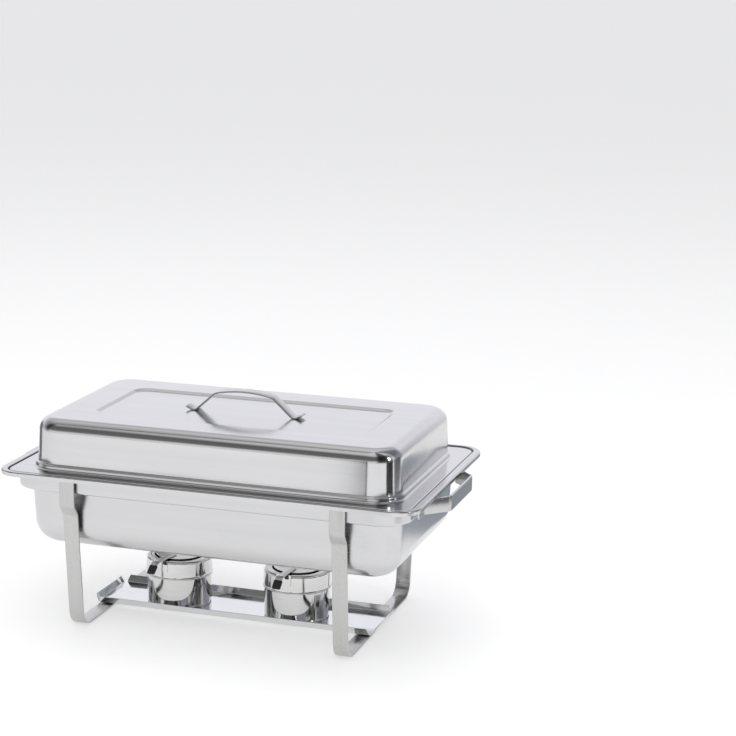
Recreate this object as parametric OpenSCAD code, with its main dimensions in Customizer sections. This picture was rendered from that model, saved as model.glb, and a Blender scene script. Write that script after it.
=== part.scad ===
// Chafing dish: a water pan on two flat-bar leg loops, a food pan and a domed lid in it,
// and a fuel tray with two burners below. The origin is on the floor under the middle of
// the dish; +X runs along its length, +Y from the front to the back.

/* [Rim of the water pan] */
// Width of the rim at each end, outside the recess
rim_end = 9.5; // [8:0.5:12]
// Width of the rim at the front and the back, outside the recess
rim_side = 5; // [4.5:0.5:8]
// Height of the rim above the floor
rim_z = 209; // [195:1:260]
// Height of the turned-down hem
hem_h = 6; // [4:0.5:6.5]
// Plan radius of the rim's corners
rim_r = 31; // [24:1:45]
// Depth of the recess that the food pan's flange drops into
ledge_drop = 6; // [5:0.5:8]
// Sheet thickness of the pans and the lid
sheet_t = 1; // [0.8:0.1:1.2]

/* [Body of the water pan] */
// Height of the shoulder band under the rim
band_h = 18; // [14:1:22]
// Inward step from the band to the deep body
band_step = 13; // [11:0.5:15]
// Depth of the water pan, from the rim to its underside
pan_depth = 101; // [95:1:112]
// Bottom edge radius of the water pan
pan_edge_r = 28; // [20:1:34]

/* [Food pan] */
// Length of the food pan's flange
food_l = 530; // [480:1:640]
// Depth of the food pan's flange, front to back
food_w = 325; // [310:1:400]
// Width of the flange
food_flange = 15; // [12:0.5:18]
// Depth of the food pan
food_depth = 65; // [50:1:80]
// Bottom edge radius of the food pan
food_edge_r = 18; // [12:1:22]

/* [Lid] */
// Height of the dome above the lid's flange
dome_h = 65; // [50:1:80]
// Width of the lid's flange between the dome and its edge
lid_flange = 23; // [20:1:26]
// Depth of the recess pressed in the top
panel_drop = 2.5; // [1.5:0.5:4]
// Distance from the dome's side to the recess, at the top
panel_inset = 58.5; // [48:0.5:62]
// Radius of the dome's top edge
dome_edge_r = 17; // [12:1:22]

/* [Lid handle] */
// Distance between the two feet's outer bends
lid_grip_l = 143; // [120:1:160]
// Height of the grip above the lid's top
lid_grip_h = 28; // [23:1:36]
// Width of the handle strip
lid_strip_w = 18; // [14:1:24]
// Thickness of the handle strip
lid_strip_t = 2; // [1.5:0.25:3]

/* [Legs] */
// Distance between the middles of the two leg loops
leg_gap = 358; // [300:1:420]
// Width of the leg bar
bar_w = 20; // [16:1:26]
// Thickness of the leg bar
bar_t = 3; // [2.5:0.1:3.6]
// Inward shift of the leg below the band
joggle = 11; // [8:0.5:12]
// Further inward lean of the leg down to the floor bend
leg_lean = 16; // [8:1:22]
// Outer radius of the floor bend
floor_r = 25; // [18:1:32]

/* [Side handles] */
// Distance of the grip's outer face beyond the band
grip_out = 30; // [26:1:40]
// Length of the straight grip
grip_l = 106; // [90:1:130]
// Height of the handle bar
grip_h = 20; // [16:1:22]
// Thickness of the handle bar
grip_t = 3; // [2:0.25:4]

/* [Lid rails] */
// Diameter of the rails that the raised lid stands on
rail_d = 3; // [2.5:0.1:3.6]
// Length of each rail
rail_l = 130; // [100:1:150]
// Distance between the middles of the two rails
rail_gap = 225; // [200:1:250]

/* [Fuel tray] */
// Overhang of the tray's floor beyond the leg bars, at each end
tray_over = 3; // [0:0.5:6]
// Space between the cups and the tray's front and back edges
tray_margin = 5; // [2:0.5:10]
// Height of the tray's lips
lip_h = 10.5; // [8:0.5:12]
// Outward lean of the lips at their top
lip_out = 4; // [2:0.5:6]
// Sheet thickness of the tray
tray_t = 1; // [0.8:0.1:1.2]

/* [Burners] */
// Distance between the burners' middles
burner_gap = 166; // [130:1:200]
// Distance of the pair's middle to the left of the dish's middle
burner_left = 9; // [0:1:20]
// Outer radius of the cup
cup_r = 43; // [38:0.1:52]
// Height of the cup
cup_h = 41; // [34:1:46]
// Wall thickness of the cup and collar
cup_t = 1; // [0.8:0.1:1.2]
// Height of the collar above the cup
collar_h = 24.5; // [20:0.5:28]
// Radius of the flame opening
flame_r = 33; // [26:0.5:34]
// Gap between the flame opening and the cover disc
cover_ring = 2; // [1:0.5:4]
// Width of the cover's arm
arm_w = 10; // [8:0.5:12]
// Direction of the left burner's arm
left_arm_a = 258; // [200:1:300]
// Direction of the right burner's arm
right_arm_a = 265; // [240:1:340]

/* [Hidden] */
$fn = 64;
satin = [0.78, 0.79, 0.80];
polished = [0.86, 0.87, 0.88];
black = [0.05, 0.05, 0.05];
corner_steps = 8;
bend_steps = 5;
arc_steps = 12;

// Heights
ledge_z = rim_z - ledge_drop;
band_z = ledge_z - sheet_t - band_h;
pan_z = rim_z - pan_depth;
food_top_z = rim_z - 2;
lid_z = food_top_z;
lid_top_z = lid_z + dome_h;
bar_top_z = ledge_z - sheet_t;

// The food pan and the lid that covers its flange
food_x = food_l / 2;
food_y = food_w / 2;
lid_gap = 0.5;
lid_x = food_x + lid_gap + sheet_t;
lid_y = food_y + lid_gap + sheet_t;
lid_lip = 2.5;
dome_x = lid_x - lid_flange;
dome_y = lid_y - lid_flange;
dome_r = 38;
dome_draft = 2;
panel_r = 19;
panel_z = lid_top_z - panel_drop;

// Plan sizes of the water pan: the recess clears the lid at the ends and the rails at the back
recess_gap = 2;
rail_clear = 0.5;
recess_x = lid_x + recess_gap;
recess_y = lid_y + 1.5 * rail_d + rail_clear;
rim_x = recess_x + rim_end;
rim_y = recess_y + rim_side;
roll_r = 2;
inner_edge = 1.2;
seat_x = 3.5;
seat_y = 1;
band_x = food_x - seat_x;
band_y = food_y - seat_y;
band_r = 40;
body_x = band_x - band_step;
body_y = band_y - band_step;
body_r = 38;
body_draft = 3;

// Flange corners and rolls that the food pan and the lid share
flange_r = 17.5;
edge_roll = 1.5;
open_r = 50;
lip_r = 2.5;
food_draft = 9.5;

// The raised lid turns about the rails
hinge_y = lid_y + rail_d;
hinge_z = food_top_z - 0.5;

// Legs, handles and tray
leg_standoff = 3.5;
joggle_drop = 33;
joggle_run = 14;
joggle_r = 10;
weld_tab = 24;
handle_drop = 0.2;
handle_r = 8;
corner_cut = 4;
leg_top_y = band_y + leg_standoff + bar_t / 2;
joggle_top_z = ledge_z - joggle_drop;
joggle_end_z = joggle_top_z - joggle_run;
leg_mid_y = leg_top_y - joggle;
leg_foot_y = leg_mid_y - leg_lean;
tray_l = leg_gap + bar_w + 2 * tray_over;
tray_w = 2 * (cup_r + tray_margin);
tray_z = bar_t;
tray_top_z = tray_z + tray_t;

// Burners
cup_z = tray_top_z;
cup_top_z = cup_z + cup_h;
bead_r = 1.3;
collar_r = cup_r + bead_r;
collar_top_z = cup_top_z + collar_h;
spigot_gap = 0.4;
spigot_r = cup_r - cup_t - spigot_gap;
spigot_l = 8;
cover_t = 1;
cover_r = flame_r - cover_ring;
cover_gap = 0.5;
cover_z = collar_top_z + cover_gap;
arm_t = 1.2;
arm_z = cover_z + cover_t;
pivot_out = 8;
pivot_r = collar_r + pivot_out;
rivet_r = 1.6;
rivet_gap = 0.05;
plate_t = 1;
tab_z = cover_z + cover_t - plate_t;
tab_r = 3.5;
arm_inner = 14;
arm_past = 5;
arm_bend = pivot_r + arm_past;
tip_run = 11;
tip_drop = 12;

// ---------- outlines ----------

function unit(v) = v / norm(v);
function turned(v, a) = [v.x * cos(a) - v.y * sin(a), v.x * sin(a) + v.y * cos(a)];

// Points of an arc of radius r that rounds the corner b of the path a, b, c
function corner_arc(a, b, c, r) =
    let (
        u = unit(a - b),
        w = unit(c - b),
        half = acos(u * w) / 2,
        reach = r / tan(half),
        middle = b + unit(u + w) * r / sin(half),
        start = b + u * reach - middle,
        finish = b + w * reach - middle,
        sweep = sign(cross(start, finish)) * (180 - 2 * half)
    )
    [for (i = [0 : bend_steps]) middle + turned(start, sweep * i / bend_steps)];

// A path with every inner corner rounded to its own radius
function rounded_path(points, radii) = concat(
    [points[0]],
    [for (i = [1 : len(points) - 2])
        each corner_arc(points[i - 1], points[i], points[i + 1], radii[i - 1])],
    [points[len(points) - 1]]
);

// Normal of a path at a point, lengthened so that a strip keeps its thickness at bends
function mitre(path, i) =
    let (
        before = unit(path[max(i, 1)] - path[max(i, 1) - 1]),
        after = unit(path[min(i, len(path) - 2) + 1] - path[min(i, len(path) - 2)]),
        along = unit(before + after)
    )
    [-along.y, along.x] / (along * before);

// Outline of a strip of thickness t that is centred on a path
function strip(path, t) = concat(
    [for (i = [0 : len(path) - 1]) path[i] + mitre(path, i) * t / 2],
    [for (i = [len(path) - 1 : -1 : 0]) path[i] - mitre(path, i) * t / 2]
);

// ---------- deep-drawn shells ----------

// One ring of a rounded rectangle; a ring is [half length, half depth, corner radius, height]
function ring_points(ring) = [
    for (corner = [0 : 3], i = [0 : corner_steps])
        let (
            a = corner * 90 + i * 90 / corner_steps,
            sx = (corner == 0 || corner == 3) ? 1 : -1,
            sy = corner < 2 ? 1 : -1
        )
        [sx * (ring[0] - ring[2]) + ring[2] * cos(a),
         sy * (ring[1] - ring[2]) + ring[2] * sin(a),
         ring[3]]
];

// Rings around a bend: base ring, radius, and the angles in the section that it turns through
function bend_rings(base, r, a0, a1) = [
    for (i = [0 : bend_steps])
        let (a = a0 + (a1 - a0) * i / bend_steps)
        [base[0] + r * cos(a), base[1] + r * cos(a), base[2] + r * cos(a), base[3] + r * sin(a)]
];

// The other face of the sheet, t away from the rings across the section
function offset_rings(rings, t) =
    let (section = [for (ring = rings) [ring[0], ring[3]]])
    [for (i = [0 : len(rings) - 1])
        let (m = mitre(section, i) * t)
        [rings[i][0] + m.x, rings[i][1] + m.x, rings[i][2] + m.x, rings[i][3] + m.y]];

// A closed shell: down one face of the sheet to a flat middle, and back up the other
module drawn_shell(rings, t) {
    faces_a = rings;
    faces_b = offset_rings(rings, t);
    n = len(ring_points(rings[0]));
    k = len(rings);
    points = [for (ring = concat(faces_a, [for (i = [k - 1 : -1 : 0]) faces_b[i]]))
        each ring_points(ring)];
    sides = [for (j = [0 : 2 * k - 1], i = [0 : n - 1])
        if (j != k - 1)
            let (
                a = j * n + i,
                b = j * n + (i + 1) % n,
                c = ((j + 1) % (2 * k)) * n + (i + 1) % n,
                d = ((j + 1) % (2 * k)) * n + i
            )
            each [[a, c, b], [a, d, c]]];
    caps = [[for (i = [n - 1 : -1 : 0]) (k - 1) * n + i], [for (i = [0 : n - 1]) k * n + i]];
    polyhedron(points, concat(sides, caps), convexity = 8);
}

// ---------- pans and lid ----------

module water_pan() {
    low_z = pan_z + pan_edge_r;
    low_x = body_x - body_draft - pan_edge_r;
    low_y = body_y - body_draft - pan_edge_r;
    in_x = band_x - sheet_t;
    in_y = band_y - sheet_t;
    in_r = band_r - 1;
    wall_x = body_x - sheet_t;
    wall_y = body_y - sheet_t;
    recess_r = rim_r - 7;
    step_z = band_z + sheet_t;
    rings = concat(
        [[rim_x, rim_y, rim_r, rim_z - hem_h]],
        bend_rings([rim_x - roll_r, rim_y - roll_r, rim_r - roll_r, rim_z - roll_r], roll_r, 0, 90),
        [[recess_x + inner_edge, recess_y + inner_edge, recess_r + 1, rim_z],
         [recess_x + inner_edge / 4, recess_y + inner_edge / 4, recess_r, rim_z - inner_edge * 3 / 4],
         [recess_x, recess_y, recess_r, ledge_z],
         [in_x + inner_edge, in_y + inner_edge, band_r, ledge_z],
         [in_x, in_y, in_r, ledge_z - inner_edge],
         [in_x, in_y, in_r, step_z + roll_r],
         [in_x - roll_r * 0.3, in_y - roll_r * 0.3, in_r, step_z + roll_r * 0.3],
         [in_x - roll_r, in_y - roll_r, in_r, step_z],
         [wall_x + roll_r, wall_y + roll_r, body_r, step_z],
         [wall_x, wall_y, body_r, step_z - roll_r]],
        bend_rings([low_x, low_y, body_r - pan_edge_r, low_z], pan_edge_r - sheet_t, 0, -90)
    );
    color(satin) drawn_shell(rings, sheet_t);
}

module food_pan() {
    open_x = food_x - food_flange;
    open_y = food_y - food_flange;
    low_x = open_x - food_draft - food_edge_r;
    low_y = open_y - food_draft - food_edge_r;
    low_z = food_top_z - food_depth + sheet_t + food_edge_r;
    step_z = food_top_z - 12;
    step_h = 3;
    step_in = 5;
    rings = concat(
        [[food_x, food_y, flange_r, ledge_z]],
        bend_rings([food_x - edge_roll, food_y - edge_roll, flange_r - edge_roll, food_top_z - edge_roll],
            edge_roll, 0, 90),
        bend_rings([open_x + lip_r, open_y + lip_r, open_r + lip_r, food_top_z - lip_r], lip_r, 90, 180),
        [[open_x - 1, open_y - 1, open_r, step_z],
         [open_x - step_in, open_y - step_in, open_r - step_h, step_z - step_h]],
        bend_rings([low_x, low_y, open_r - food_draft - food_edge_r, low_z], food_edge_r, 0, -90)
    );
    color(satin) drawn_shell(rings, sheet_t);
}

module lid_shell() {
    top_x = dome_x - dome_draft;
    top_y = dome_y - dome_draft;
    panel_x = top_x - panel_inset;
    panel_y = top_y - panel_inset;
    face_z = lid_z + sheet_t;
    foot_r = 3;
    foot_in = 2.4;
    foot_z = face_z + 5;
    press_r = 0.4;
    press_run = 5;
    rings = concat(
        [[lid_x, lid_y, flange_r + sheet_t, face_z - lid_lip]],
        bend_rings([lid_x - edge_roll, lid_y - edge_roll, flange_r - 0.5, face_z - edge_roll],
            edge_roll, 0, 90),
        bend_rings([dome_x + 2 * foot_r, dome_y + 2 * foot_r, dome_r + foot_r + 1, face_z + foot_r],
            foot_r, 270, 180),
        [[dome_x + foot_in, dome_y + foot_in, dome_r, foot_z],
         [dome_x, dome_y, dome_r, foot_z + foot_in]],
        bend_rings([top_x - dome_edge_r, top_y - dome_edge_r, dome_r - 2 - dome_edge_r,
            lid_top_z - dome_edge_r], dome_edge_r, 0, 90),
        [[panel_x, panel_y, panel_r, lid_top_z],
         [panel_x - press_run * 0.3, panel_y - press_run * 0.3, panel_r - 1, lid_top_z - press_r],
         [panel_x - press_run * 0.7, panel_y - press_run * 0.7, panel_r - 2, panel_z + press_r],
         [panel_x - press_run, panel_y - press_run, panel_r - 3, panel_z]]
    );
    color(satin) drawn_shell(rings, sheet_t);
}

// A strip bent in the XZ plane, with its feet curled up a little
module lid_handle() {
    foot_z = panel_z + lid_strip_t / 2;
    peak_z = lid_top_z + lid_grip_h - lid_strip_t / 2;
    foot_x = lid_grip_l / 2;
    foot_l = 5.5;
    curl = [8, 3.5];
    slope_run = 26;
    arch_x = foot_x - foot_l - slope_run;
    arch_rise = 5;
    arch_z = peak_z - arch_rise;
    arch_r = (arch_x * arch_x + arch_rise * arch_rise) / (2 * arch_rise);
    arch_a = asin(arch_x / arch_r);
    foot = [foot_x, foot_z];
    start = [foot + curl, foot, foot - [foot_l, 0], [arch_x, arch_z]];
    arch = [for (i = [1 : arc_steps - 1])
        let (a = arch_a * (1 - 2 * i / arc_steps)) [arch_r * sin(a), peak_z - arch_r + arch_r * cos(a)]];
    right = rounded_path([start[0], start[1], start[2], start[3], arch[0]], [6, 4, 9]);
    left = [for (i = [len(right) - 2 : -1 : 0]) [-right[i].x, right[i].y]];
    color(satin)
    translate([0, lid_strip_w / 2, 0])
    rotate([90, 0, 0])
    linear_extrude(lid_strip_w)
    polygon(strip(concat(right, [for (i = [1 : len(arch) - 2]) arch[i]], [[-arch[0].x, arch[0].y]], left),
        lid_strip_t));
}

// ---------- stand ----------

module leg_loop(side) {
    half = [[leg_top_y, bar_top_z], [leg_top_y, joggle_top_z], [leg_mid_y, joggle_end_z],
        [leg_foot_y, bar_t / 2]];
    points = concat([for (p = half) [-p.x, p.y]], [for (i = [3 : -1 : 0]) half[i]]);
    mid_r = floor_r - bar_t / 2;
    path = rounded_path(points, [joggle_r, joggle_r, mid_r, mid_r, joggle_r, joggle_r]);
    color(satin)
    translate([side * leg_gap / 2 - bar_w / 2, 0, 0])
    rotate([90, 0, 90])
    linear_extrude(bar_w)
    polygon(strip(path, bar_t));
}

module side_handle(side) {
    weld_x = band_x + grip_t / 2;
    grip_x = band_x + grip_out - grip_t / 2;
    grip_y = grip_l / 2;
    slope = grip_x - weld_x;
    points = [[weld_x, -grip_y - slope - weld_tab], [weld_x, -grip_y - slope], [grip_x, -grip_y],
        [grip_x, grip_y], [weld_x, grip_y + slope], [weld_x, grip_y + slope + weld_tab]];
    path = rounded_path(points, [handle_r, handle_r, handle_r, handle_r]);
    color(satin)
    translate([0, 0, bar_top_z - handle_drop - grip_h])
    linear_extrude(grip_h)
    polygon(strip([for (p = path) [side * p.x, p.y]], grip_t));
}

module lid_rail(side) {
    post_d = rail_d + 0.6;
    post_x = rail_l / 2 - post_d / 2;
    color(satin)
    translate([side * rail_gap / 2, hinge_y, 0]) {
        translate([-rail_l / 2 + post_d / 2, 0, hinge_z])
        rotate([0, 90, 0])
        cylinder(d = rail_d, h = rail_l - post_d);
        for (end = [-1, 1])
            translate([end * post_x, 0, ledge_z])
            cylinder(d = post_d, h = hinge_z - ledge_z + post_d / 2);
    }
}

// ---------- fuel tray ----------

// One lip along a tray edge of the given length, at the given distance from the middle
module tray_lip(edge, away) {
    section = [[0, 0], [lip_out, lip_h], [lip_out - tray_t, lip_h], [-tray_t, tray_t], [-tray_t, 0]];
    translate([-edge / 2, -away, tray_z])
    rotate([90, 0, 90])
    linear_extrude(edge)
    polygon([for (p = section) [-p.x, p.y]]);
}

module fuel_tray() {
    color(polished) {
        difference() {
            translate([-tray_l / 2, -tray_w / 2, tray_z])
            cube([tray_l, tray_w, tray_t]);
            for (sx = [-1, 1], sy = [-1, 1])
                translate([sx * tray_l / 2, sy * tray_w / 2, tray_z - 1])
                cylinder(r = corner_cut, h = tray_t + 2);
        }
        for (turn = [0, 180])
            rotate([0, 0, turn])
            tray_lip(tray_l - 2 * corner_cut, tray_w / 2);
        for (turn = [90, 270])
            rotate([0, 0, turn])
            tray_lip(tray_w - 2 * corner_cut, tray_l / 2);
    }
}

// ---------- burners ----------

function burner_x(side) = -burner_left + side * burner_gap / 2;
function arm_angle(side) = side < 0 ? left_arm_a : right_arm_a;

// Arc in the section of a turned piece
function section_arc(x, z, r, a0, a1) = [
    for (i = [0 : bend_steps])
        let (a = a0 + (a1 - a0) * i / bend_steps) [x + r * cos(a), z + r * sin(a)]
];

module burner_cup(side) {
    foot_r = 4;
    color(polished)
    translate([burner_x(side), 0, cup_z])
    rotate_extrude()
    polygon(concat(
        [[0, 0]],
        section_arc(cup_r - foot_r, foot_r, foot_r, -90, 0),
        [[cup_r, cup_h], [cup_r - cup_t, cup_h]],
        section_arc(cup_r - foot_r, foot_r, foot_r - cup_t, 0, -90),
        [[0, cup_t]]
    ));
}

// The collar stands on the cup's edge; its spigot keeps it there
module burner_collar(side) {
    top_r = 3.5;
    bead_x = collar_r - 0.2;
    color(polished)
    translate([burner_x(side), 0, cup_top_z])
    rotate_extrude()
    polygon(concat(
        [[spigot_r - cup_t, -spigot_l], [spigot_r, -spigot_l], [spigot_r, 0]],
        section_arc(bead_x, bead_r, bead_r, -90, 60),
        [[collar_r, 2 * bead_r + 1]],
        section_arc(collar_r - top_r, collar_h - top_r, top_r, 0, 90),
        [[flame_r, collar_h], [flame_r, collar_h - cup_t]],
        section_arc(collar_r - top_r, collar_h - top_r, top_r - cup_t, 90, 0),
        [[collar_r - cup_t, bead_r * 2], [spigot_r - cup_t, bead_r]]
    ));
}

// Moves a piece drawn along +X from the burner's middle to its burner and arm direction
module on_burner(side) {
    translate([burner_x(side), 0, 0])
    rotate([0, 0, arm_angle(side)])
    children();
}

// A plate on the collar's side that turns out into a tab under the arm
module pivot_bracket(side) {
    plate_w = 20;
    plate_l = 14;
    inner = collar_r + 0.05;
    color(polished)
    on_burner(side) {
        difference() {
            intersection() {
                translate([0, 0, tab_z - plate_l])
                cylinder(r = inner + plate_t, h = plate_l + plate_t);
                translate([inner - 5, -plate_w / 2, tab_z - plate_l])
                cube([20, plate_w, plate_l + plate_t]);
            }
            translate([0, 0, tab_z - plate_l - 1])
            cylinder(r = inner, h = plate_l + plate_t + 2);
        }
        difference() {
            union() {
                translate([inner + plate_t / 2, -tab_r, tab_z])
                cube([pivot_r - inner - plate_t / 2, 2 * tab_r, plate_t]);
                translate([pivot_r, 0, tab_z])
                cylinder(r = tab_r, h = plate_t);
            }
            translate([pivot_r, 0, tab_z - 1])
            cylinder(r = rivet_r, h = plate_t + 2);
        }
    }
}

module pivot_rivet(side) {
    head_r = 2.8;
    head_t = 1.2;
    color(polished)
    on_burner(side)
    translate([pivot_r, 0, 0]) {
        translate([0, 0, tab_z - head_t])
        cylinder(r = head_r, h = head_t);
        translate([0, 0, tab_z - head_t / 2])
        cylinder(r = rivet_r, h = plate_t + arm_t + head_t);
        translate([0, 0, arm_z + arm_t + rivet_gap])
        cylinder(r = head_r, h = head_t);
    }
}

module cover_disc(side) {
    color(polished)
    translate([burner_x(side), 0, cover_z])
    cylinder(r = cover_r, h = cover_t);
}

// Flat from the disc to past the rivet, then bent down to the grip
module cover_arm(side) {
    path = rounded_path(
        [[arm_inner, arm_z + arm_t / 2], [arm_bend, arm_z + arm_t / 2],
         [arm_bend + tip_run, arm_z + arm_t / 2 - tip_drop]],
        [3]);
    color(satin)
    on_burner(side)
    difference() {
        translate([0, arm_w / 2, 0])
        rotate([90, 0, 0])
        linear_extrude(arm_w)
        polygon(strip(path, arm_t));
        translate([pivot_r, 0, arm_z - 1])
        cylinder(r = rivet_r + rivet_gap, h = arm_t + 2);
    }
}

// Heat-resistant sleeve on the end of the arm
module arm_grip(side) {
    wall = 0.9;
    cover = 0.75;
    run = [tip_run, -tip_drop];
    base = [arm_bend, arm_z + arm_t / 2];
    along = unit(run);
    start = base + run * (1 - cover);
    finish = base + run + along * 1.2;
    color(black)
    on_burner(side)
    difference() {
        translate([0, arm_w / 2 + wall, 0])
        rotate([90, 0, 0])
        linear_extrude(arm_w + 2 * wall)
        polygon(strip([start, finish], arm_t + 2 * wall));
        translate([0, arm_w / 2, 0])
        rotate([90, 0, 0])
        linear_extrude(arm_w)
        polygon(strip([start - along, base + run], arm_t));
    }
}

water_pan();
leg_loop(-1);  // left_leg_loop
leg_loop(1);  // right_leg_loop
side_handle(-1);  // left_side_handle
side_handle(1);  // right_side_handle
lid_rail(-1);  // left_lid_rail
lid_rail(1);  // right_lid_rail
food_pan();
lid_shell();
lid_handle();
fuel_tray();
burner_cup(-1);  // left_burner_cup
burner_collar(-1);  // left_burner_collar
pivot_bracket(-1);  // left_pivot_bracket
pivot_rivet(-1);  // left_pivot_rivet
cover_disc(-1);  // left_cover_disc
cover_arm(-1);  // left_cover_arm
arm_grip(-1);  // left_arm_grip
burner_cup(1);  // right_burner_cup
burner_collar(1);  // right_burner_collar
pivot_bracket(1);  // right_pivot_bracket
pivot_rivet(1);  // right_pivot_rivet
cover_disc(1);  // right_cover_disc
cover_arm(1);  // right_cover_arm
arm_grip(1);  // right_arm_grip
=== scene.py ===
import math

import bmesh
import bpy
from mathutils import Matrix, Vector


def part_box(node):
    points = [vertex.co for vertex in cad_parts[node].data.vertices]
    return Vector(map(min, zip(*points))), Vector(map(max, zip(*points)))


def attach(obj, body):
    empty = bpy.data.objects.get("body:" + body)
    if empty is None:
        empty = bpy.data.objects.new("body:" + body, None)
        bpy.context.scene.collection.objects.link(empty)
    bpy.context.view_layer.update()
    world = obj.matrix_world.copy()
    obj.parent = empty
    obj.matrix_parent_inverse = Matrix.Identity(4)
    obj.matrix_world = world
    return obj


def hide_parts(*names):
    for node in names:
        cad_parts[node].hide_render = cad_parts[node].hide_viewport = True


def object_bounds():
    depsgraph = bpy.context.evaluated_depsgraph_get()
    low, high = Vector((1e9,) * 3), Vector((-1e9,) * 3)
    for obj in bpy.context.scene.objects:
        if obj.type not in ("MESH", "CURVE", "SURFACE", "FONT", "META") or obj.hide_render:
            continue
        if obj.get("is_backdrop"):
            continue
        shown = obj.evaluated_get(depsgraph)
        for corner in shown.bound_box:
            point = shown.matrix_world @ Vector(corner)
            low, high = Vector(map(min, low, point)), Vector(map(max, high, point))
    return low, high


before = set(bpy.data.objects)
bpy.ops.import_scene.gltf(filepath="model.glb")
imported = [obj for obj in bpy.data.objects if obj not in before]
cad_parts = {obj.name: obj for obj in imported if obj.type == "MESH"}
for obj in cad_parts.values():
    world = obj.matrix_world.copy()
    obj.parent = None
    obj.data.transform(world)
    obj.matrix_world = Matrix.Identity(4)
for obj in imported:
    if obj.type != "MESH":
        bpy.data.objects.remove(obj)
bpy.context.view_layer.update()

MM = 0.001
SIDES = ("left", "right")

# Sizes that more than one piece needs
SHEET = 1.0 * MM            # sheet of the pans, the lid, the tray and the burners
FOOD_HEM = 4 * MM           # hem of the food pan, which stands on the water pan's ledge
BAND_END = 17.5 * MM        # from the rim's edge in to the shoulder band, at the ends
PANEL_DROP = 2.5 * MM       # depth of the recess in the lid's top, which the handle stands in


# ---------- mesh helpers ----------

def fillet(corners, metric, steps):
    """Points of a path whose corners are (coordinates, radius); metric picks the axes that radii are in."""
    def flat(v):
        return Vector([v[i] for i in metric])

    points = [Vector(corners[0][0])]
    for (a, _), (b, r), (c, _) in zip(corners, corners[1:], corners[2:]):
        a, b, c = Vector(a), Vector(b), Vector(c)
        back, ahead = flat(a) - flat(b), flat(c) - flat(b)
        half = back.angle(ahead) / 2
        if r <= 0 or half > math.radians(89.5):
            points.append(b)
            continue
        reach = min(r / math.tan(half), back.length * 0.98, ahead.length * 0.98)
        start = b + (a - b) * (reach / back.length)
        end = b + (c - b) * (reach / ahead.length)
        weight = math.sin(half)
        for i in range(steps + 1):
            t = i / steps
            w0, w1, w2 = (1 - t) ** 2, 2 * t * (1 - t) * weight, t * t
            points.append((start * w0 + b * w1 + end * w2) / (w0 + w1 + w2))
    points.append(Vector(corners[-1][0]))
    return held(points, metric)


def held(points, metric, grip=0.7 * MM):
    """The path with a point close to each end of its long straight runs, so that they shade flat."""
    path = [points[0]]
    for a, b in zip(points, points[1:]):
        run = math.dist([a[i] for i in metric], [b[i] for i in metric])
        if run > 4 * grip:
            path += [a.lerp(b, grip / run), a.lerp(b, 1 - grip / run)]
        path.append(b)
    return path


def new_object(name, bm, material, body, sharp=40):
    """A finished mesh object, smooth but for edges sharper than the given angle."""
    bmesh.ops.remove_doubles(bm, verts=bm.verts, dist=1e-6)
    bmesh.ops.recalc_face_normals(bm, faces=bm.faces)
    mesh = bpy.data.meshes.new(name)
    bm.to_mesh(mesh)
    bm.free()
    mesh.shade_smooth()
    mesh.set_sharp_from_angle(angle=math.radians(sharp))
    mesh.materials.append(material)
    obj = bpy.data.objects.new(name, mesh)
    bpy.context.collection.objects.link(obj)
    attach(obj, body)
    return obj


def skin(bm, loops, closed=True, caps=False):
    """Quads between rows of points; each row is a closed loop unless closed is False."""
    rows = [[bm.verts.new(p) for p in loop] for loop in loops]
    count = len(rows[0])
    for low, high in zip(rows, rows[1:]):
        for i in range(count if closed else count - 1):
            j = (i + 1) % count
            bm.faces.new((low[i], low[j], high[j], high[i]))
    if caps:
        bm.faces.new(rows[0][::-1])
        bm.faces.new(rows[-1])


def plan_ring(x, y, r, z, steps=14):
    """A rounded rectangle around the Z axis, with half sizes x and y and corner radius r."""
    ring = []
    for corner, (sx, sy) in enumerate(((1, 1), (-1, 1), (-1, -1), (1, -1))):
        for i in range(steps + 1):
            a = math.radians(corner * 90 + i * 90 / steps)
            ring.append((sx * (x - r) + r * math.cos(a), sy * (y - r) + r * math.sin(a), z))
    return ring


def drawn(name, corners, material, body, steps):
    """A deep-drawn sheet: rings of (half length, half depth, corner radius, height), and a flat middle."""
    rings = fillet(corners, (0, 3), steps)
    section = [Vector((ring[0], ring[3])) for ring in rings]
    under = []
    for i, ring in enumerate(rings):
        before = section[max(i, 1)] - section[max(i, 1) - 1]
        after = section[min(i, len(rings) - 2) + 1] - section[min(i, len(rings) - 2)]
        along = (before.normalized() + after.normalized()).normalized()
        normal = Vector((-along.y, along.x)) * SHEET / along.dot(before.normalized())
        under.append(ring + Vector((normal.x, normal.x, normal.x, normal.y)))
    bm = bmesh.new()
    loops = [plan_ring(*ring) for ring in rings] + [plan_ring(*ring) for ring in reversed(under)]
    count, half = len(loops[0]), len(rings)
    rows = [[bm.verts.new(p) for p in loop] for loop in loops]
    for j, low in enumerate(rows):
        if j == half - 1:
            bm.faces.new(low)
            continue
        high = rows[(j + 1) % len(rows)]
        for i in range(count):
            k = (i + 1) % count
            bm.faces.new((low[i], low[k], high[k], high[i]))
        if j == half:
            bm.faces.new(low[::-1])
    return new_object(name, bm, material, body, sharp=50)


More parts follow.
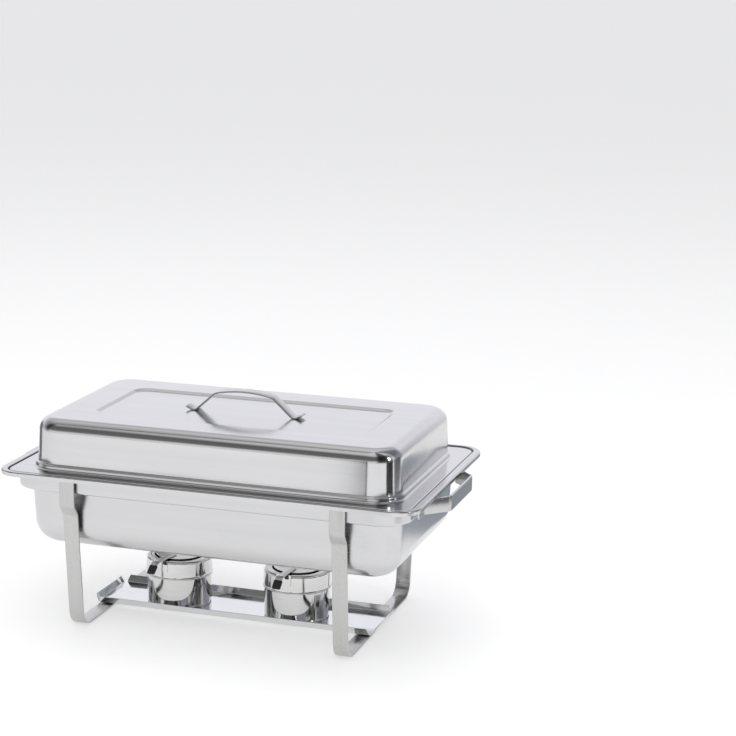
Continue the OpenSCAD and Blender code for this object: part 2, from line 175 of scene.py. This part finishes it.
def bar(name, path, width, thickness, across, material, body, edge=0.7 * MM):
    """A bar with rounded edges swept along a path; across is the direction of its width."""
    across = Vector(across).normalized()
    edge = min(edge, thickness * 0.45)
    corner_steps = 3
    outline = []
    for sx, sy, a0 in ((1, 1, 0), (-1, 1, 90), (-1, -1, 180), (1, -1, 270)):
        for i in range(corner_steps + 1):
            a = math.radians(a0 + i * 90 / corner_steps)
            outline.append((sx * (width / 2 - edge) + edge * math.cos(a),
                            sy * (thickness / 2 - edge) + edge * math.sin(a)))
    loops = []
    last = len(path) - 1
    for i, point in enumerate(path):
        before = (path[max(i, 1)] - path[max(i, 1) - 1]).normalized()
        after = (path[min(i, last - 1) + 1] - path[min(i, last - 1)]).normalized()
        along = (before + after).normalized()
        normal = across.cross(along) / along.dot(before)
        steps = [(0, 0)]
        if i == 0:
            steps = [(0, edge), (edge, 0)]
        if i == last:
            steps = [(-edge, 0), (0, edge)]
        for shift, shrink in steps:
            loops.append([point + along * shift + across * (u * (1 - 2 * shrink / width))
                          + normal * (v * (1 - 2 * shrink / thickness)) for u, v in outline])
    bm = bmesh.new()
    skin(bm, loops, caps=True)
    return new_object(name, bm, material, body)


def turned(name, profile, centre, material, body, segments=120):
    """A closed section of (radius, height) turned about a vertical axis."""
    profile = held([Vector(point) for point in profile + profile[:1]], (0, 1), 0.4 * MM)[:-1]
    bm = bmesh.new()
    loops = []
    for i in range(segments):
        a = 2 * math.pi * i / segments
        loops.append([(centre[0] + r * math.cos(a), centre[1] + r * math.sin(a), centre[2] + z)
                      for r, z in profile])
    loops.append(loops[0])
    skin(bm, loops)
    bmesh.ops.remove_doubles(bm, verts=bm.verts, dist=1e-6)
    bmesh.ops.dissolve_degenerate(bm, edges=bm.edges, dist=1e-7)
    return new_object(name, bm, material, body)


# ---------- materials ----------

class Nodes:
    """Short calls for building one material's node tree."""

    def __init__(self, name):
        self.material = bpy.data.materials.new(name)
        self.material.use_nodes = True
        self.tree = self.material.node_tree
        self.shader = self.tree.nodes["Principled BSDF"]

    def add(self, kind, **values):
        node = self.tree.nodes.new(kind)
        for key, value in values.items():
            setattr(node, key, value)
        return node

    def link(self, out, into):
        self.tree.links.new(out, into)

    def stretched_noise(self, scale, detail):
        """Noise that is drawn out along the axes where scale is small."""
        place = self.add("ShaderNodeTexCoord")
        mapping = self.add("ShaderNodeMapping")
        mapping.inputs["Scale"].default_value = scale
        noise = self.add("ShaderNodeTexNoise")
        noise.inputs["Scale"].default_value = 1.0
        noise.inputs["Detail"].default_value = detail
        noise.inputs["Roughness"].default_value = 0.6
        self.link(place.outputs["Object"], mapping.inputs["Vector"])
        self.link(mapping.outputs["Vector"], noise.inputs["Vector"])
        return noise.outputs["Fac"]

    def remap(self, value, low, high):
        """A noise value as a number between low and high."""
        node = self.add("ShaderNodeMapRange")
        node.inputs["From Min"].default_value = 0.3
        node.inputs["From Max"].default_value = 0.7
        node.inputs["To Min"].default_value = low
        node.inputs["To Max"].default_value = high
        self.link(value, node.inputs["Value"])
        return node.outputs["Result"]

    def tint(self, value, dark, light):
        """A noise value as a colour between dark and light."""
        node = self.add("ShaderNodeValToRGB")
        node.color_ramp.elements[0].position = 0.25
        node.color_ramp.elements[1].position = 0.75
        node.color_ramp.elements[0].color = (*dark, 1)
        node.color_ramp.elements[1].color = (*light, 1)
        self.link(value, node.inputs["Fac"])
        return node.outputs["Color"]

    def bump(self, value, strength, distance, after=None):
        node = self.add("ShaderNodeBump")
        node.inputs["Strength"].default_value = strength
        node.inputs["Distance"].default_value = distance
        self.link(value, node.inputs["Height"])
        if after is not None:
            self.link(after, node.inputs["Normal"])
        return node.outputs["Normal"]


def brushed_steel(name, along, light, dark, rough, depth):
    """Satin steel; along is the axis that its polishing lines run on."""
    m = Nodes(name)
    fine = [900.0, 900.0, 900.0]
    broad = [60.0, 60.0, 60.0]
    fine["XYZ".index(along)] = 7.0
    broad["XYZ".index(along)] = 2.0
    lines = m.stretched_noise(fine, 3.0)
    streaks = m.stretched_noise(broad, 5.0)
    clouds = m.stretched_noise([9.0, 9.0, 9.0], 2.0)
    m.link(m.tint(streaks, dark, light), m.shader.inputs["Base Color"])
    mix = m.add("ShaderNodeMath", operation="ADD")
    m.link(m.remap(lines, rough * 0.82, rough * 1.18), mix.inputs[0])
    m.link(m.remap(clouds, -0.03, 0.03), mix.inputs[1])
    m.link(mix.outputs[0], m.shader.inputs["Roughness"])
    wavy = m.bump(clouds, 0.05, 0.002)
    m.link(m.bump(lines, depth, 0.0001, wavy), m.shader.inputs["Normal"])
    m.shader.inputs["Metallic"].default_value = 1.0
    return m.material


def polished_steel(name, light, dark, rough):
    """Mirror-polished steel with faint wipe marks and drawing waves."""
    m = Nodes(name)
    wipes = m.stretched_noise([40.0, 40.0, 160.0], 5.0)
    waves = m.stretched_noise([16.0, 16.0, 16.0], 1.0)
    m.link(m.tint(wipes, dark, light), m.shader.inputs["Base Color"])
    m.link(m.remap(wipes, rough * 0.5, rough * 1.6), m.shader.inputs["Roughness"])
    m.link(m.bump(waves, 0.10, 0.002), m.shader.inputs["Normal"])
    m.shader.inputs["Metallic"].default_value = 1.0
    return m.material


def black_sleeve(name):
    m = Nodes(name)
    grain = m.stretched_noise([700.0, 700.0, 700.0], 3.0)
    m.link(m.tint(grain, (0.006, 0.006, 0.006), (0.022, 0.022, 0.024)), m.shader.inputs["Base Color"])
    m.link(m.remap(grain, 0.42, 0.62), m.shader.inputs["Roughness"])
    m.link(m.bump(grain, 0.3, 0.0002), m.shader.inputs["Normal"])
    return m.material


# Light and dark base colour of each kind of steel
SHEET_TONES = (0.655, 0.655, 0.66), (0.61, 0.61, 0.615)
LEG_TONES = (0.56, 0.555, 0.55), (0.53, 0.525, 0.52)
HANDLE_TONES = (0.60, 0.60, 0.60), (0.53, 0.53, 0.53)
BURNER_TONES = (0.74, 0.735, 0.73), (0.68, 0.675, 0.67)
TRAY_TONES = (0.78, 0.785, 0.79), (0.72, 0.725, 0.73)
LID_STEEL = brushed_steel("lid_satin_steel", "X", *SHEET_TONES, rough=0.15, depth=0.02)
PAN_STEEL = brushed_steel("pan_satin_steel", "X", *SHEET_TONES, rough=0.22, depth=0.015)
UPRIGHT_STEEL = brushed_steel("leg_satin_steel", "Z", *LEG_TONES, rough=0.24, depth=0.03)
HANDLE_STEEL = brushed_steel("handle_satin_steel", "Y", *HANDLE_TONES, rough=0.22, depth=0.12)
POLISHED = polished_steel("burner_polished_steel", *BURNER_TONES, rough=0.07)
TRAY_STEEL = polished_steel("tray_polished_steel", *TRAY_TONES, rough=0.10)
SLEEVE = black_sleeve("black_arm_sleeve")


# ---------- pans and lid ----------

def ledge_height():
    """Height of the water pan's ledge that the food pan's hem stands on."""
    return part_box("food_pan")[1][2] - FOOD_HEM


def water_pan():
    low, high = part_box("water_pan")
    x, y, top = high[0], high[1], high[2]
    ledge = ledge_height()
    hem, rim_end, rim_side, band_side = 6 * MM, 9.5 * MM, 5 * MM, 13.5 * MM
    band_h, band_step, draft, flat_in = 18 * MM, 13 * MM, 3.6 * MM, 33 * MM
    rim_r, recess_r, band_r, body_r, floor_r, flat_r = 31 * MM, 24 * MM, 39 * MM, 38 * MM, 37 * MM, 8 * MM
    rim_bend, recess_bend, ledge_bend, band_bend, bottom_bend = 2 * MM, 1 * MM, 0.8 * MM, 2.5 * MM, 28 * MM
    band_x, band_y = x - BAND_END, y - band_side
    step_z = ledge - band_h
    body_x, body_y = band_x - band_step, band_y - band_step
    floor = low[2] + SHEET
    rings = [
        ((x, y, rim_r, top - hem), 0),
        ((x, y, rim_r, top), rim_bend),
        ((x - rim_end, y - rim_side, recess_r, top), recess_bend),
        ((x - rim_end, y - rim_side, recess_r, ledge), ledge_bend),
        ((band_x, band_y, band_r, ledge), recess_bend),
        ((band_x, band_y, band_r, step_z), band_bend),
        ((body_x, body_y, body_r, step_z), band_bend),
        ((body_x - draft, body_y - draft, floor_r, floor), bottom_bend),
        ((body_x - flat_in, body_y - flat_in, flat_r, floor), 0),
    ]
    pan = drawn("water_pan_drawn", rings, PAN_STEEL, "stand", 9)
    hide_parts("water_pan")


def food_pan():
    low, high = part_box("food_pan")
    x, y, top = high[0], high[1], high[2]
    flange, neck_h, step_h = 15 * MM, 12 * MM, 3 * MM
    neck_in, step_in, wall_in, flat_in = 1 * MM, 5 * MM, 10.6 * MM, 30 * MM
    flange_r, open_r, step_r, wall_r, flat_r = 17.5 * MM, 50 * MM, 47 * MM, 41 * MM, 22 * MM
    hem_bend, lip_bend, neck_bend, step_bend, bottom_bend = 1.5 * MM, 2.6 * MM, 1.2 * MM, 1.6 * MM, 18 * MM
    open_x, open_y = x - flange, y - flange
    floor = low[2] + SHEET
    rings = [
        ((x, y, flange_r, top - FOOD_HEM), 0),
        ((x, y, flange_r, top), hem_bend),
        ((open_x, open_y, open_r, top), lip_bend),
        ((open_x - neck_in, open_y - neck_in, open_r, top - neck_h), neck_bend),
        ((open_x - step_in, open_y - step_in, step_r, top - neck_h - step_h), step_bend),
        ((open_x - wall_in, open_y - wall_in, wall_r, floor), bottom_bend),
        ((open_x - flat_in, open_y - flat_in, flat_r, floor), 0),
    ]
    pan = drawn("food_pan_drawn", rings, PAN_STEEL, "food_pan", 8)
    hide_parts("food_pan")


def lid_shell():
    low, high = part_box("lid_shell")
    x, y, top = high[0], high[1], high[2]
    hem, flange, draft, panel_in, slope_in, flat_in = 2.5 * MM, 23 * MM, 2.4 * MM, 60.5 * MM, 5 * MM, 9 * MM
    foot_out, foot_top_out, foot_h, step_h = 3.4 * MM, 2.6 * MM, 5 * MM, 2.2 * MM
    flange_r, foot_r, foot_top_r, dome_r, top_r = 18.5 * MM, 40 * MM, 39.5 * MM, 38 * MM, 36 * MM
    panel_r, slope_r, flat_r = 19 * MM, 16 * MM, 12 * MM
    hem_bend, foot_bend, press_bend, step_bend, dome_bend = 1.5 * MM, 2.6 * MM, 1.6 * MM, 1.8 * MM, 17 * MM
    roll_in = dome_bend + 0.5 * MM
    face = low[2] + hem
    dome_x, dome_y = x - flange, y - flange
    top_x, top_y = dome_x - draft, dome_y - draft
    panel_x, panel_y = dome_x - panel_in, dome_y - panel_in
    rings = [
        ((x, y, flange_r, low[2]), 0),
        ((x, y, flange_r, face), hem_bend),
        ((dome_x + foot_out, dome_y + foot_out, foot_r, face), foot_bend),
        ((dome_x + foot_top_out, dome_y + foot_top_out, foot_top_r, face + foot_h), press_bend),
        ((dome_x, dome_y, dome_r, face + foot_h + step_h), step_bend),
        ((top_x, top_y, top_r, top), dome_bend),
        ((top_x - roll_in, top_y - roll_in, top_r - roll_in, top), 0),
        ((panel_x, panel_y, panel_r, top), press_bend),
        ((panel_x - slope_in, panel_y - slope_in, slope_r, top - PANEL_DROP), press_bend),
        ((panel_x - flat_in, panel_y - flat_in, flat_r, top - PANEL_DROP), 0),
    ]
    lid = drawn("lid_drawn", rings, LID_STEEL, "lid", 10)
    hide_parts("lid_shell")


def lid_handle():
    low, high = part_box("lid_handle")
    thick = 2 * MM
    peak = high[2] - thick / 2
    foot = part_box("lid_shell")[1][2] - PANEL_DROP + thick / 2
    tip_x, arch_x = high[0], 40 * MM
    tip_in, curl_h, curl_x, foot_x, weld_in = 0.4 * MM, 3.8 * MM, 8.4 * MM, 14 * MM, 11 * MM
    curl_bend, foot_bend, arch_bend = 6 * MM, 5 * MM, 10 * MM
    rise = 5 * MM
    arch_r = (arch_x ** 2 + rise ** 2) / (2 * rise)
    span = math.asin(arch_x / arch_r)
    half = [((tip_x - tip_in, 0, foot + curl_h), 0), ((tip_x - curl_x, 0, foot), curl_bend),
            ((tip_x - foot_x, 0, foot), foot_bend), ((arch_x, 0, peak - rise), arch_bend)]
    arch = []
    arch_steps = 8
    for i in range(1, 2 * arch_steps):
        a = span * (1 - i / arch_steps)
        arch.append(((arch_r * math.sin(a), 0, peak - arch_r + arch_r * math.cos(a)), 0))
    mirrored = [((-p[0], 0, p[2]), r) for p, r in reversed(half)]
    path = fillet(half + arch + mirrored, (0, 1, 2), 8)
    handle = bar("lid_handle_strip", path, high[1] - low[1], thick, (0, 1, 0), HANDLE_STEEL, "lid",
                 0.8 * MM)
    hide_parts("lid_handle")
    for side in (-1, 1):
        dimple = [(0, 0), (2.6 * MM, 0), (2.2 * MM, -0.5 * MM), (1.2 * MM, -0.8 * MM), (0, -0.9 * MM)]
        turned(f"lid_weld_{'left' if side < 0 else 'right'}", dimple,
               (side * (tip_x - weld_in), 0, foot - thick / 2 - SHEET), LID_STEEL, "lid", 32)


# ---------- stand ----------

def leg_loop(side):
    name = f"{side}_leg_loop"
    low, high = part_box(name)
    thick = 3 * MM
    joggle, lean, joggle_top, joggle_end = 11 * MM, 16 * MM, 33 * MM, 47 * MM
    joggle_bend, floor_bend = 12 * MM, 23.5 * MM
    middle = (low[0] + high[0]) / 2
    top_y = high[1] - thick / 2
    shift_y = top_y - joggle
    foot_y = shift_y - lean
    ledge = ledge_height()
    half = [((middle, top_y, high[2]), 0), ((middle, top_y, ledge - joggle_top), joggle_bend),
            ((middle, shift_y, ledge - joggle_end), joggle_bend), ((middle, foot_y, thick / 2), floor_bend)]
    front = [((p[0], -p[1], p[2]), r) for p, r in half]
    path = fillet(front + half[::-1], (0, 1, 2), 9)
    loop = bar(f"{name}_bar", path, high[0] - low[0], thick, (1, 0, 0), UPRIGHT_STEEL, "stand")
    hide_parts(name)


def side_handle(side):
    name = f"{side}_side_handle"
    low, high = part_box(name)
    sign = 1 if side == "right" else -1
    thick, bend = 3 * MM, 8 * MM
    weld_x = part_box("water_pan")[1][0] - BAND_END + SHEET + thick / 2
    grip_x = max(abs(low[0]), abs(high[0])) - thick / 2
    grip_y = 53 * MM
    slope = grip_x - weld_x
    z = (low[2] + high[2]) / 2
    half = [((sign * weld_x, high[1], z), 0), ((sign * weld_x, grip_y + slope, z), bend),
            ((sign * grip_x, grip_y, z), bend)]
    path = fillet([((p[0], -p[1], p[2]), r) for p, r in half] + half[::-1], (0, 1, 2), 7)
    handle = bar(f"{name}_bar", path, high[2] - low[2], thick, (0, 0, 1), HANDLE_STEEL, "stand")
    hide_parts(name)


def lid_rail(side):
    """A wire on two ends bent down; the CAD rail's posts are a little thicker than its wire."""
    name = f"{side}_lid_rail"
    low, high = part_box(name)
    radius, post_r, bend = 1.5 * MM, 1.8 * MM, 2.4 * MM
    y = (low[1] + high[1]) / 2
    z = high[2] - post_r
    corners = [((low[0] + radius, y, low[2]), 0), ((low[0] + radius, y, z), bend),
               ((high[0] - radius, y, z), bend), ((high[0] - radius, y, low[2]), 0)]
    path = fillet(corners, (0, 1, 2), 8)
    rail = bar(f"{name}_wire", path, 2 * radius, 2 * radius, (0, 1, 0), POLISHED, "stand",
               radius * 0.98)
    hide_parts(name)


# ---------- fuel tray ----------

def fuel_tray():
    low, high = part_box("fuel_tray")
    lean, cut, bend, trim, edge_gap = 4 * MM, 4 * MM, 1.6 * MM, 3.5 * MM, 0.2 * MM
    across = (-1, -0.34, 0.34, 1)
    x, y = high[0] - lean, high[1] - lean
    height = high[2] - low[2]
    top = low[2] + SHEET
    bm = bmesh.new()
    middle = []
    for turn, (reach, half) in enumerate(((y, x - cut), (x, y - cut), (y, x - cut), (x, y - cut))):
        section = fillet([((reach - bend, top), 0), ((reach, top), bend),
                          ((reach + lean - edge_gap, high[2] - edge_gap), 0)], (0, 1), 5)
        rows = []
        for away, z in section:
            rise = max(0.0, (z - top) / (height - SHEET))
            rows.append([Vector((s * (half - trim * rise ** 2), -away, z)) for s in across])
        spin = Matrix.Rotation(math.radians(90 * turn), 4, "Z")
        rows = [[spin @ p for p in row] for row in rows]
        skin(bm, rows, closed=False)
        middle += rows[0]
    bm.faces.new([bm.verts.new(p) for p in middle])
    tray = new_object("fuel_tray_sheet", bm, TRAY_STEEL, "fuel_tray", 30)
    solid = tray.modifiers.new("sheet", "SOLIDIFY")
    solid.thickness = SHEET
    solid.offset = -1
    edge = tray.modifiers.new("edge", "BEVEL")
    edge.width = 0.3 * MM
    edge.segments = 2
    edge.limit_method = "ANGLE"
    edge.angle_limit = math.radians(60)
    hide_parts("fuel_tray")


# ---------- burners ----------

def arc(x, z, r, start, stop, steps=6):
    """Points on an arc about (x, z), from one angle to another in degrees."""
    points = []
    for i in range(steps + 1):
        a = math.radians(start + (stop - start) * i / steps)
        points.append((x + r * math.cos(a), z + r * math.sin(a)))
    return points


def centre_of(node):
    """The middle of a node's box, at the height of its underside."""
    low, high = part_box(node)
    return Vector(((low[0] + high[0]) / 2, (low[1] + high[1]) / 2, low[2]))


def burner_cup(side):
    name = f"{side}_burner_cup"
    low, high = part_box(name)
    radius, foot, lip = 43 * MM, 4 * MM, 0.3 * MM
    height = high[2] - low[2]
    groove = [(radius - 9 * MM, 0), (radius - 8 * MM, 0.5 * MM), (radius - 7 * MM, 0)]
    profile = (
        [(0, 0)] + groove + arc(radius - foot, foot, foot, -80, 0)
        + [(radius, height - lip), (radius - lip, height), (radius - SHEET, height)]
        + arc(radius - foot, foot, foot - SHEET, 0, -90) + [(0, SHEET)]
    )
    cup = turned(f"{name}_drawn", profile, centre_of(name), POLISHED, f"{side}_burner")
    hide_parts(name)


def burner_collar(side):
    """The ring on the cup: a spigot inside it, a bead over its edge, and a rolled flame opening."""
    name = f"{side}_burner_collar"
    middle = centre_of(f"{side}_burner_cup")
    low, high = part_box(name)
    outer, spigot, bead, shoulder, flame = 44.3 * MM, 41.6 * MM, 1.3 * MM, 3.5 * MM, 33 * MM
    spigot_h, edge_roll, bead_in, bead_gap = 8 * MM, 0.5 * MM, 0.2 * MM, 0.8 * MM
    land_in, dish_in, dish, flat_in = 6.2 * MM, 7.2 * MM, 0.35 * MM, 1.2 * MM
    base = low[2] + spigot_h
    top = high[2] - base
    profile = (
        [(spigot - SHEET, -spigot_h), (spigot, -spigot_h), (spigot, 0)]
        + arc(outer - bead_in, bead, bead, -90, 70, 8)
        + [(outer, 2 * bead + bead_gap), (outer, 2 * bead + 2 * bead_gap)]
        + arc(outer - shoulder, top - shoulder, shoulder, 0, 90, 8)
        + [(outer - land_in, top), (outer - dish_in, top - dish), (flame + flat_in, top - dish)]
        + arc(flame + edge_roll, top - dish - edge_roll, edge_roll, 90, 270, 6)
        + arc(outer - shoulder, top - shoulder, shoulder - SHEET, 90, 0, 6)
        + [(outer - SHEET, bead * 2), (spigot - SHEET, bead)]
    )
    collar = turned(f"{name}_drawn", profile, (middle.x, middle.y, base), POLISHED, f"{side}_collar")
    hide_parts(name)


def cover_disc(side):
    name = f"{side}_cover_disc"
    middle = centre_of(f"{side}_burner_cup")
    low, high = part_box(name)
    thick = high[2] - low[2]
    radius = (high[0] - low[0]) / 2
    press, under_in, ring_in, panel_in = 0.2 * MM, 3 * MM, 2.6 * MM, 3.4 * MM
    profile = (
        [(0, press), (radius - under_in, press)]
        + arc(radius - 0.5 * MM, thick / 2, thick / 2, -90, 90, 6)
        + [(radius - ring_in, thick), (radius - panel_in, thick - press), (0, thick - press)]
    )
    disc = turned(f"{name}_pressed", profile, (middle.x, middle.y, low[2]), POLISHED, f"{side}_cover")
    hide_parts(name)


def cover_arm(side):
    """The strip from the cover past its rivet, its black sleeve and its two weld spots."""
    middle = centre_of(f"{side}_burner_cup")
    rivet = centre_of(f"{side}_pivot_rivet")
    rivet.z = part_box(f"{side}_cover_disc")[1][2]
    out = (rivet - Vector((middle.x, middle.y, rivet.z))).normalized()
    across = Vector((-out.y, out.x, 0))
    thick, width, bend, edge = 1.2 * MM, 10 * MM, 3 * MM, 0.4 * MM
    start, past_rivet, tip_out, tip_drop = 14 * MM, 5 * MM, 11 * MM, 12 * MM
    line = rivet.z + thick / 2
    inner = Vector((middle.x, middle.y, line)) + out * start
    elbow = Vector((rivet.x, rivet.y, line)) + out * past_rivet
    tip = elbow + out * tip_out - Vector((0, 0, tip_drop))
    path = fillet([(inner, 0), (elbow, bend), (tip, 0)], (0, 1, 2), 6)
    arm = bar(f"{side}_cover_arm_strip", path, width, thick, across, HANDLE_STEEL, f"{side}_cover",
              edge)
    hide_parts(f"{side}_cover_arm")
    down = (tip - elbow).normalized()
    sleeve_w, sleeve_t, sleeve_edge, sleeve_past = 11.6 * MM, 3 * MM, 1.1 * MM, 1.2 * MM
    sleeve_path = [elbow + (tip - elbow) * 0.27, elbow + (tip - elbow) * 0.6, tip + down * sleeve_past]
    sleeve = bar(f"{side}_arm_grip_sleeve", sleeve_path, sleeve_w, sleeve_t, across, SLEEVE,
                 f"{side}_cover", sleeve_edge)
    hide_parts(f"{side}_arm_grip")
    dent = [(0, -0.1 * MM), (1.7 * MM, -0.1 * MM), (1.5 * MM, 0.12 * MM), (0.8 * MM, 0.05 * MM),
            (0, 0.02 * MM)]
    first_weld, weld_gap = 18 * MM, 7 * MM
    for i in (0, 1):
        spot = Vector((middle.x, middle.y, line + thick / 2)) + out * (first_weld + weld_gap * i)
        turned(f"{side}_arm_weld_{i}", dent, spot, HANDLE_STEEL, f"{side}_cover", 24)


def repaint(node, material):
    """A CAD node that stays as it is, in one of the materials above."""
    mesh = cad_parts[node].data
    mesh.materials.clear()
    mesh.materials.append(material)


water_pan()
food_pan()
lid_shell()
lid_handle()
fuel_tray()
for each in SIDES:
    leg_loop(each)
    side_handle(each)
    lid_rail(each)
    burner_cup(each)
    burner_collar(each)
    cover_disc(each)
    cover_arm(each)
    repaint(f"{each}_pivot_bracket", POLISHED)
    repaint(f"{each}_pivot_rivet", POLISHED)


# ---------- studio ----------

def floor():
    """A pale floor that glows a little, like a light table."""
    m = Nodes("pale_floor")
    clouds = m.stretched_noise([3.0, 3.0, 3.0], 3.0)
    m.link(m.tint(clouds, (0.70, 0.70, 0.70), (0.72, 0.72, 0.72)), m.shader.inputs["Base Color"])
    m.link(m.remap(clouds, 0.75, 0.85), m.shader.inputs["Roughness"])
    m.shader.inputs["Emission Color"].default_value = (1, 1, 1, 1)
    m.shader.inputs["Emission Strength"].default_value = FLOOR_GLOW
    bm = bmesh.new()
    bmesh.ops.create_circle(bm, cap_ends=True, radius=60.0, segments=96)
    mesh = bpy.data.meshes.new("studio_floor")
    bm.to_mesh(mesh)
    bm.free()
    mesh.materials.append(m.material)
    plane = bpy.data.objects.new("studio_floor", mesh)
    bpy.context.collection.objects.link(plane)
    plane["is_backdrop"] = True


def flag(name, direction, distance, width, height, shade):
    """An upright card that only the steel sees; direction is in degrees from the front towards +X."""
    m = Nodes(name)
    clouds = m.stretched_noise([2.0, 2.0, 2.0], 2.0)
    m.link(m.tint(clouds, shade, [v * 1.15 for v in shade]), m.shader.inputs["Base Color"])
    m.link(m.remap(clouds, 0.8, 0.9), m.shader.inputs["Roughness"])
    a = math.radians(direction)
    middle = Vector((math.sin(a), -math.cos(a), 0)) * distance
    along = Vector((math.cos(a), math.sin(a), 0)) * width / 2
    up = Vector((0, 0, height))
    bm = bmesh.new()
    bm.faces.new([bm.verts.new(p) for p in (middle - along, middle + along, middle + along + up,
                                            middle - along + up)])
    mesh = bpy.data.meshes.new(name)
    bm.to_mesh(mesh)
    bm.free()
    mesh.materials.append(m.material)
    card = bpy.data.objects.new(name, mesh)
    card.visible_camera = card.visible_diffuse = card.visible_shadow = False
    bpy.context.collection.objects.link(card)
    card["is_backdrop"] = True


def softbox(name, place, aim, size, power, mirrored=True):
    data = bpy.data.lights.new(name, "AREA")
    data.shape = "RECTANGLE"
    data.size, data.size_y = size
    data.energy = power
    light = bpy.data.objects.new(name, data)
    light.location = place
    light.rotation_euler = (Vector(aim) - Vector(place)).to_track_quat("-Z", "Y").to_euler()
    light.visible_glossy = mirrored
    bpy.context.collection.objects.link(light)


def ramp(tree, value, stops):
    """A colour ramp; stops are (position, grey level, share of extra blue)."""
    node = tree.nodes.new("ShaderNodeValToRGB")
    node.color_ramp.interpolation = "EASE"
    marks = node.color_ramp.elements
    for _ in stops[2:]:
        marks.new(0.5)
    for mark, (at, level, blue) in zip(marks, stops):
        mark.position = at
        mark.color = (level, level, level * (1 + blue), 1)
    tree.links.new(value, node.inputs["Fac"])
    return node.outputs["Color"]


def mixed(tree, blend, factor, first, second):
    node = tree.nodes.new("ShaderNodeMixRGB")
    node.blend_type = blend
    node.inputs["Fac"].default_value = 1.0
    if factor is not None:
        tree.links.new(factor, node.inputs["Fac"])
    tree.links.new(first, node.inputs["Color1"])
    tree.links.new(second, node.inputs["Color2"])
    return node.outputs["Color"]


def rescaled(tree, value, low, high):
    node = tree.nodes.new("ShaderNodeMapRange")
    node.interpolation_type = "SMOOTHSTEP"
    node.inputs["From Min"].default_value = low
    node.inputs["From Max"].default_value = high
    tree.links.new(value, node.inputs["Value"])
    return node.outputs["Result"]


def studio_world():
    """A bright room with dark flags: high up in front, and in upright bands around the sides."""
    world = bpy.data.worlds.new("studio")
    bpy.context.scene.world = world
    world.use_nodes = True
    tree = world.node_tree
    place = tree.nodes.new("ShaderNodeTexCoord")
    split = tree.nodes.new("ShaderNodeSeparateXYZ")
    tree.links.new(place.outputs["Generated"], split.inputs[0])
    height = tree.nodes.new("ShaderNodeMapRange")
    height.inputs["From Min"].default_value = -1
    height.inputs["From Max"].default_value = 1
    tree.links.new(split.outputs["Z"], height.inputs["Value"])
    front = ramp(tree, height.outputs["Result"], FRONT_LEVELS)
    back = ramp(tree, height.outputs["Result"], BACK_LEVELS)
    room = mixed(tree, "MIX", rescaled(tree, split.outputs["Y"], -0.25, 0.25), front, back)
    turn = tree.nodes.new("ShaderNodeMath")
    turn.operation = "ARCTAN2"
    tree.links.new(split.outputs["Y"], turn.inputs[0])
    tree.links.new(split.outputs["X"], turn.inputs[1])
    around = tree.nodes.new("ShaderNodeMapRange")
    around.inputs["From Min"].default_value = -math.pi
    around.inputs["From Max"].default_value = math.pi
    tree.links.new(turn.outputs[0], around.inputs["Value"])
    flags = ramp(tree, around.outputs["Result"], FLAG_LEVELS)
    tree.links.new(mixed(tree, "MULTIPLY", None, room, flags), tree.nodes["Background"].inputs["Color"])
    tree.nodes["Background"].inputs["Strength"].default_value = ROOM_STRENGTH


def camera():
    low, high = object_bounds()
    target = Vector((0, 0, (low[2] + high[2]) / 2))
    azimuth, elevation, roll, distance = math.radians(19.9), math.radians(15.75), math.radians(0.4), 2.769
    back = Vector((math.sin(azimuth) * math.cos(elevation), -math.cos(azimuth) * math.cos(elevation),
                   math.sin(elevation)))
    data = bpy.data.cameras.new("camera")
    data.lens = 103.3
    data.shift_x = 0.1675
    data.shift_y = 0.182
    data.clip_end = 200
    eye = bpy.data.objects.new("camera", data)
    eye.location = target + back * distance
    eye.rotation_euler = (back.to_track_quat("Z", "Y").to_matrix() @ Matrix.Rotation(roll, 3, "Z")).to_euler()
    bpy.context.collection.objects.link(eye)
    bpy.context.scene.camera = eye


FLOOR_GLOW = 0.45
ROOM_STRENGTH = 1.15
# Room brightness from straight down (0) over the horizon (0.5) to straight up (1), as
# (position, grey level, share of extra blue)
FRONT_LEVELS = [(0.0, 0.8, 0), (0.5, 0.85, 0), (0.56, 0.75, 0), (0.64, 0.16, 0), (0.84, 0.14, 0),
                (0.94, 0.7, 0), (1.0, 0.75, 0)]
BACK_LEVELS = [(0.0, 0.8, 0), (0.5, 0.95, 0.03), (0.66, 0.92, 0.06), (0.8, 0.55, 0.05), (1.0, 0.75, 0)]
# Flags by compass direction: -X at 0 and 1, the front at 0.25, +X at 0.5, the back at 0.75
FLAG_LEVELS = [(0.0, 0.75, 0), (0.06, 0.25, 0), (0.12, 0.9, 0), (0.2, 0.95, 0), (0.3, 1.0, 0),
               (0.36, 0.12, 0), (0.44, 0.15, 0), (0.47, 0.95, 0), (0.52, 0.9, 0), (0.56, 0.3, 0.1),
               (0.66, 0.35, 0.1), (0.72, 0.95, 0), (0.9, 0.95, 0), (0.96, 0.7, 0)]
floor()
studio_world()
softbox("overhead", (0, -0.4, 3.0), (0, -0.4, 0), (5.0, 5.0), 60, mirrored=False)
softbox("low_front", (-0.5, -3.6, 1.2), (0, 0, 0), (4.0, 1.2), 30, mirrored=False)
flag("thin_flag_front", 2, 1.05, 0.10, 0.4, (0.10, 0.10, 0.10))
flag("dark_flag_right", 74, 1.05, 0.42, 0.45, (0.02, 0.02, 0.02))
flag("grey_flag_right", 108, 1.15, 0.7, 0.4, (0.16, 0.16, 0.17))
flag("grey_flag_left", -105, 1.05, 0.5, 0.45, (0.22, 0.22, 0.22))
flag("blue_grey_flag", 140, 0.52, 0.55, 0.15, (0.38, 0.41, 0.45))
softbox("right_strip", (2.4, -0.6, 0.9), (0, 0, 0.2), (0.3, 1.2), 8)
camera()
bpy.context.scene.view_settings.view_transform = "Standard"
